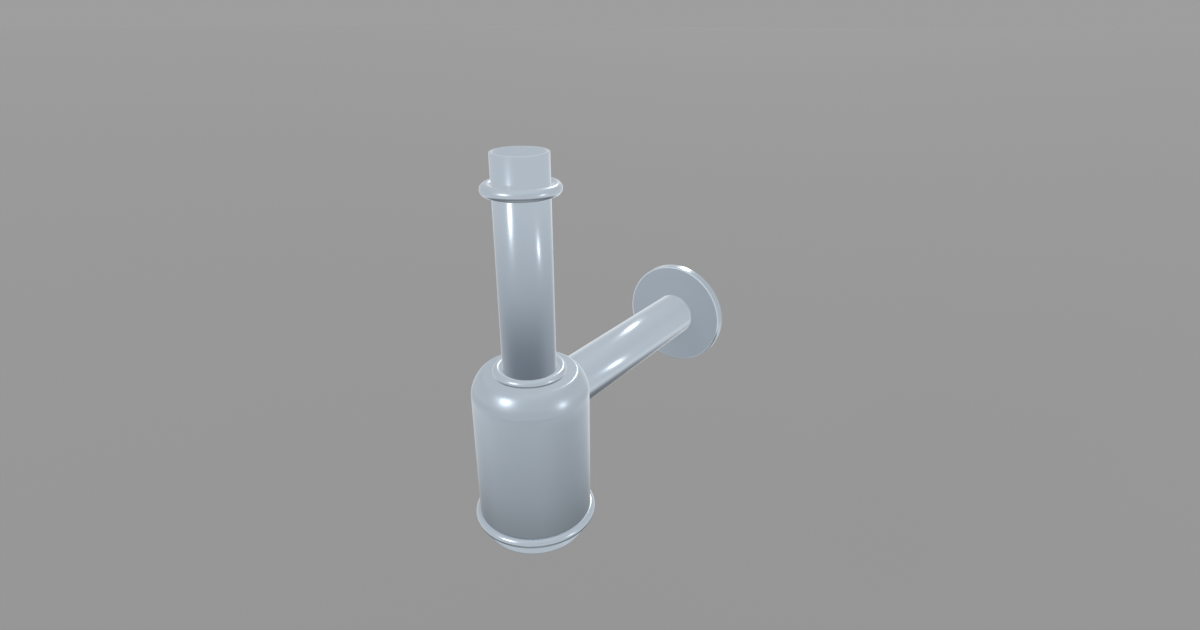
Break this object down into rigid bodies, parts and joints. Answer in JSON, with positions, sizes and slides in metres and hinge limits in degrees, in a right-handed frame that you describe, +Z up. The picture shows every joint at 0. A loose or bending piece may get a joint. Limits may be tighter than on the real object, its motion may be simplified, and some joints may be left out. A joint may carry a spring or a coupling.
{
  "type": "bottle trap",
  "caption": "Round-shouldered metal bottle trap with a tall inlet tube, sliding rounded collar, neck nut, screw-off cup and straight outlet to a wall flange.",
  "frame": {"origin": "where the outlet axis meets the wall face, at the back of the wall flange", "axes": "+Y along the outlet into the wall, +Z up along the inlet tube, +X across"},
  "size_m": [0.079, 0.2499, 0.2395],
  "materials": {
    "chrome_shell": "satin",
    "chrome_tube": "satin",
    "chrome_ring": "polished",
    "chrome_flange": "satin",
    "brass": "turned",
    "rubber": "matte",
    "slip_plastic": "matte"
  },
  "bodies": {
    "bottle": {"bottle_body": "chrome_shell", "neck_bush": "brass", "base_ring": "brass", "outlet_tube": "chrome_tube"},
    "inlet_seal": {"gland_seal": "rubber"},
    "inlet": {"inlet_tube": "chrome_tube"},
    "collar_grip": {"inlet_collar_o_ring": "rubber"},
    "collar": {"inlet_collar": "chrome_ring"},
    "nut_travel": {"gland_slip_washer": "slip_plastic"},
    "nut": {"gland_nut": "chrome_ring"},
    "cup_travel": {"cup_seal": "rubber"},
    "cup": {"clean_out_cup": "chrome_ring"},
    "flange_grip": {"flange_o_ring": "rubber"},
    "flange": {"wall_flange": "chrome_flange"}
  },
  "joints": [
    {"name": "inlet_swivel", "type": "hinge", "parent": "bottle", "child": "inlet_seal", "pos_m": [0, -0.1836, 0], "axis": [0, 0, 1], "continuous": true},
    {"name": "inlet_height", "type": "slide", "parent": "inlet_seal", "child": "inlet", "axis": [0, 0, 1], "range_m": [-0.012, 0.04]},
    {"name": "collar_height", "type": "slide", "parent": "inlet", "child": "collar_grip", "axis": [0, 0, 1], "range_m": [-0.075, 0.016]},
    {"name": "collar_turn", "type": "hinge", "parent": "collar_grip", "child": "collar", "pos_m": [0, -0.1836, 0], "axis": [0, 0, 1], "continuous": true},
    {"name": "nut_rise", "type": "slide", "parent": "bottle", "child": "nut_travel", "axis": [0, 0, 1], "range_m": [0, 0.008]},
    {"name": "nut_turn", "type": "hinge", "parent": "nut_travel", "child": "nut", "pos_m": [0, -0.1836, 0], "axis": [0, 0, 1], "range_deg": [0, 1920]},
    {"name": "cup_drop", "type": "slide", "parent": "bottle", "child": "cup_travel", "axis": [0, 0, -1], "range_m": [0, 0.012]},
    {"name": "cup_turn", "type": "hinge", "parent": "cup_travel", "child": "cup", "pos_m": [0, -0.1836, 0], "axis": [0, 0, -1], "range_deg": [0, 2160]},
    {"name": "flange_slide", "type": "slide", "parent": "bottle", "child": "flange_grip", "axis": [0, -1, 0], "range_m": [0, 0.13]},
    {"name": "flange_turn", "type": "hinge", "parent": "flange_grip", "child": "flange", "pos_m": [0, 0, 0], "axis": [0, 1, 0], "continuous": true}
  ],
  "couplings": [
    {"joint": "nut_rise", "follows": "nut_turn", "m_per_rad": 0.00023873},
    {"joint": "cup_drop", "follows": "cup_turn", "m_per_rad": 0.00031831}
  ]
}
